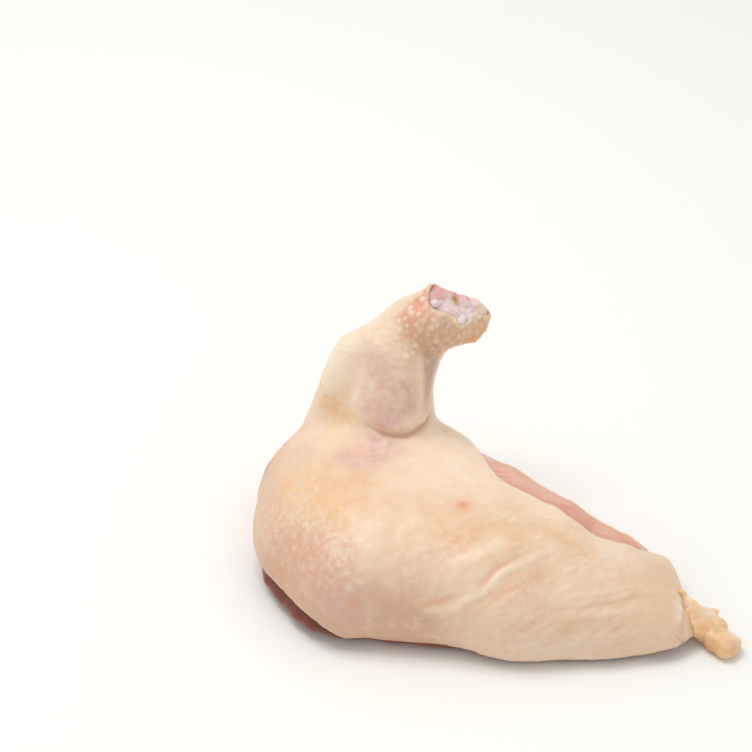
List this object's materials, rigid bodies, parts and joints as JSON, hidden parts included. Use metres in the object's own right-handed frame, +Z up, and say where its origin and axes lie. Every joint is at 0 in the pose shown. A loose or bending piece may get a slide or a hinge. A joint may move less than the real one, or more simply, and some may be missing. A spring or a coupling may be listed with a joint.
{
  "type": "raw chicken breast",
  "caption": "Raw chicken breast with its skin on, lying skin side up, the cut wing stump standing at the shoulder end, bare meat along the back and a strip of fat at the tip.",
  "frame": {"origin": "on the board under the middle of the whole piece", "axes": "+X from the shoulder end to the tip, +Z up, -Y the side where the skin comes down to the board"},
  "size_m": [0.1744, 0.113, 0.0937],
  "materials": {
    "raw_meat": "wet, with fine fibres",
    "raw_skin": "moist, slightly see-through",
    "gristle": "wet and glossy",
    "raw_fat": "moist, see-through at thin places"
  },
  "bodies": {
    "root": {"breast_meat": "raw_meat", "skin": "raw_skin", "wing_bone": "gristle", "tip_strip": "raw_fat"}
  },
  "joints": []
}
